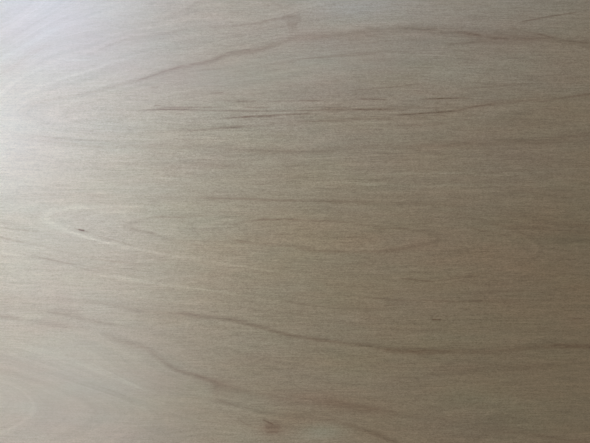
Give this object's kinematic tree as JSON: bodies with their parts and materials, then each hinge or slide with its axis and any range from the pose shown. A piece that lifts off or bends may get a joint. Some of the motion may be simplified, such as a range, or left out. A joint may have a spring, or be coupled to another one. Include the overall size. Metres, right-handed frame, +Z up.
{
  "type": "plywood sheet",
  "caption": "Flat rectangular sheet of pale hardwood plywood with a rotary-cut face, for cutting up into panels, floors, linings and furniture.",
  "frame": {"origin": "centre of the back face, on which the sheet lies", "axes": "+X along the length and the face grain, +Y across the width, +Z up through the thickness, out of the good face"},
  "size_m": [2.44, 1.22, 0.018],
  "materials": {
    "hardwood_plywood": "bare, sanded smooth, with a rotary-cut figure on both faces and the veneers' edges showing all round"
  },
  "bodies": {
    "root": {"plywood_sheet": "hardwood_plywood"}
  },
  "joints": []
}
